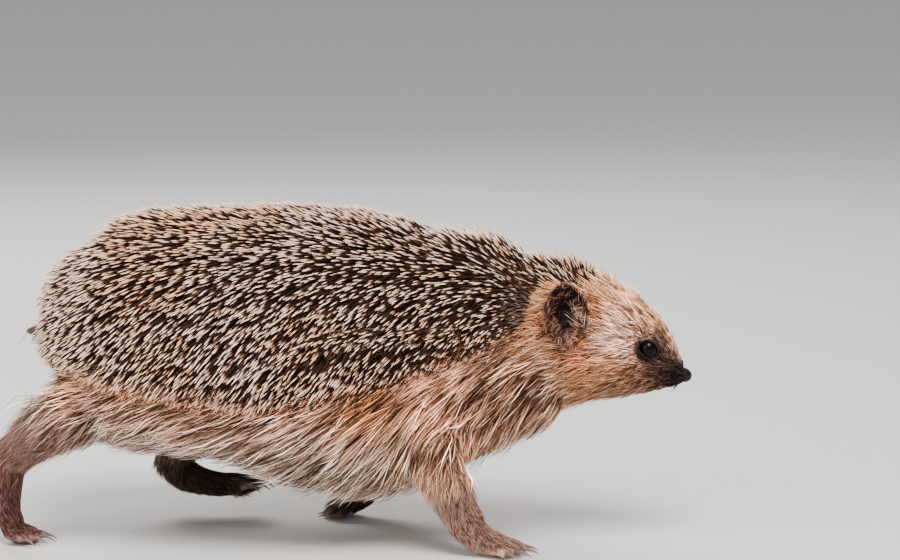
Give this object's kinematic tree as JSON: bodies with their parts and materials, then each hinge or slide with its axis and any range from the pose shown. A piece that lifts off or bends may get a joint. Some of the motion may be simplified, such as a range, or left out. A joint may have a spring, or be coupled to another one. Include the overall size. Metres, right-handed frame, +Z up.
{
  "type": "hedgehog",
  "caption": "Life-size European hedgehog walking, right forefoot forward and right hind foot stretched back, as a still display model.",
  "frame": {"origin": "under the centre of the animal's bounding box, at floor level", "axes": "+X towards the nose, +Y towards the animal's left side, +Z up"},
  "size_m": [0.2568, 0.1152, 0.1249],
  "materials": {
    "spines": "matt spines, pale at the tips with a dark band",
    "fur": "soft fur",
    "leg_fur": "short thin fur",
    "bare_skin": "bare wrinkled skin",
    "dark_skin": "thin dark skin",
    "nose": "moist grained skin",
    "eye": "wet gloss",
    "claw": "semi-matt horn"
  },
  "bodies": {
    "root": {"trunk": "spines", "neck": "fur", "head": "fur", "nose": "nose", "eye_right": "eye", "eye_left": "eye", "ear_right": "dark_skin", "ear_left": "dark_skin", "tail": "bare_skin", "foreleg_right": "leg_fur", "foreleg_left": "leg_fur", "hindleg_right": "leg_fur", "hindleg_left": "leg_fur", "forefoot_right": "bare_skin", "forefoot_left": "bare_skin", "hindfoot_right": "bare_skin", "hindfoot_left": "bare_skin", "forefoot_right_claw_1": "claw", "forefoot_right_claw_2": "claw", "forefoot_right_claw_3": "claw", "forefoot_right_claw_4": "claw", "forefoot_right_claw_5": "claw", "forefoot_left_claw_1": "claw", "forefoot_left_claw_2": "claw", "forefoot_left_claw_3": "claw", "forefoot_left_claw_4": "claw", "forefoot_left_claw_5": "claw", "hindfoot_right_claw_1": "claw", "hindfoot_right_claw_2": "claw", "hindfoot_right_claw_3": "claw", "hindfoot_right_claw_4": "claw", "hindfoot_right_claw_5": "claw", "hindfoot_left_claw_1": "claw", "hindfoot_left_claw_2": "claw", "hindfoot_left_claw_3": "claw", "hindfoot_left_claw_4": "claw", "hindfoot_left_claw_5": "claw"}
  },
  "joints": []
}
